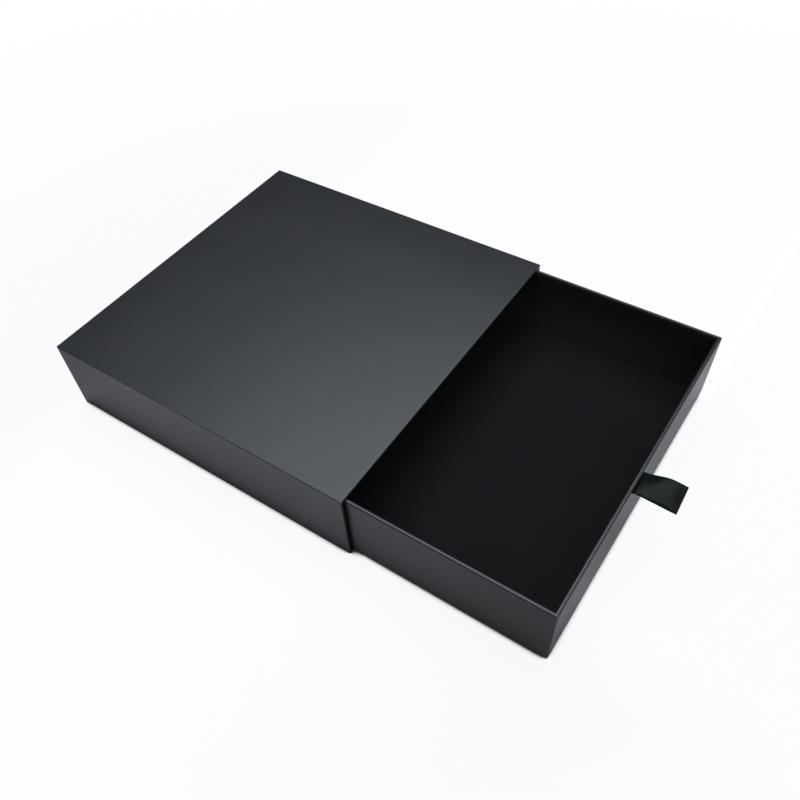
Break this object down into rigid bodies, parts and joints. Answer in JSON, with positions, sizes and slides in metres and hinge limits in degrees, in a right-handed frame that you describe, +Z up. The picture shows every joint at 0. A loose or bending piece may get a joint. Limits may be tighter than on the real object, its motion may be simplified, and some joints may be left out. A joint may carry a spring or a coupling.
{
  "type": "sliding drawer gift box",
  "caption": "Rigid paper gift box: a flat square sleeve, open at one end, and a velvet-lined drawer that slides out of it by a short satin ribbon tab.",
  "frame": {"origin": "middle of the sleeve's underside, on the surface that the box stands on", "axes": "+X the way the drawer pulls out of the sleeve's mouth, +Y across the mouth (to the right, seen from the mouth), +Z up"},
  "size_m": [0.4473, 0.27, 0.063],
  "materials": {
    "charcoal_paper": "satin",
    "black_lining_paper": "matte",
    "black_velvet": "matte",
    "black_satin": "satin",
    "greyboard": "matte",
    "gummed_tape": "matte"
  },
  "bodies": {
    "sleeve": {"sleeve_top_board": "greyboard", "sleeve_bottom_board": "greyboard", "sleeve_left_board": "greyboard", "sleeve_right_board": "greyboard", "sleeve_back_board": "greyboard", "sleeve_tape_top_left": "gummed_tape", "sleeve_tape_top_right": "gummed_tape", "sleeve_tape_bottom_left": "gummed_tape", "sleeve_tape_bottom_right": "gummed_tape", "sleeve_wrap": "charcoal_paper", "sleeve_base_sheet": "charcoal_paper", "sleeve_back_sheet": "charcoal_paper", "sleeve_lining": "black_lining_paper", "sleeve_back_lining": "black_lining_paper"},
    "drawer": {"drawer_bottom_board": "greyboard", "drawer_front_board": "greyboard", "drawer_back_board": "greyboard", "drawer_left_board": "greyboard", "drawer_right_board": "greyboard", "drawer_stay_front_left": "gummed_tape", "drawer_stay_front_right": "gummed_tape", "drawer_stay_back_left": "gummed_tape", "drawer_stay_back_right": "gummed_tape", "drawer_wrap": "charcoal_paper", "drawer_wall_velvet": "black_velvet", "drawer_floor_velvet": "black_velvet", "ribbon_tail": "black_satin"},
    "ribbon": {"ribbon_tab": "black_satin"}
  },
  "joints": [
    {"name": "drawer_slide", "type": "slide", "parent": "sleeve", "child": "drawer", "axis": [1, 0, 0], "range_m": [-0.1488, 0.12]},
    {"name": "ribbon_flex", "type": "hinge", "parent": "drawer", "child": "ribbon", "pos_m": [0.28435, -0.018, 0.05685], "axis": [0, 1, 0], "range_deg": [-75, 75], "stiffness_Nm_per_rad": 0.0012}
  ]
}
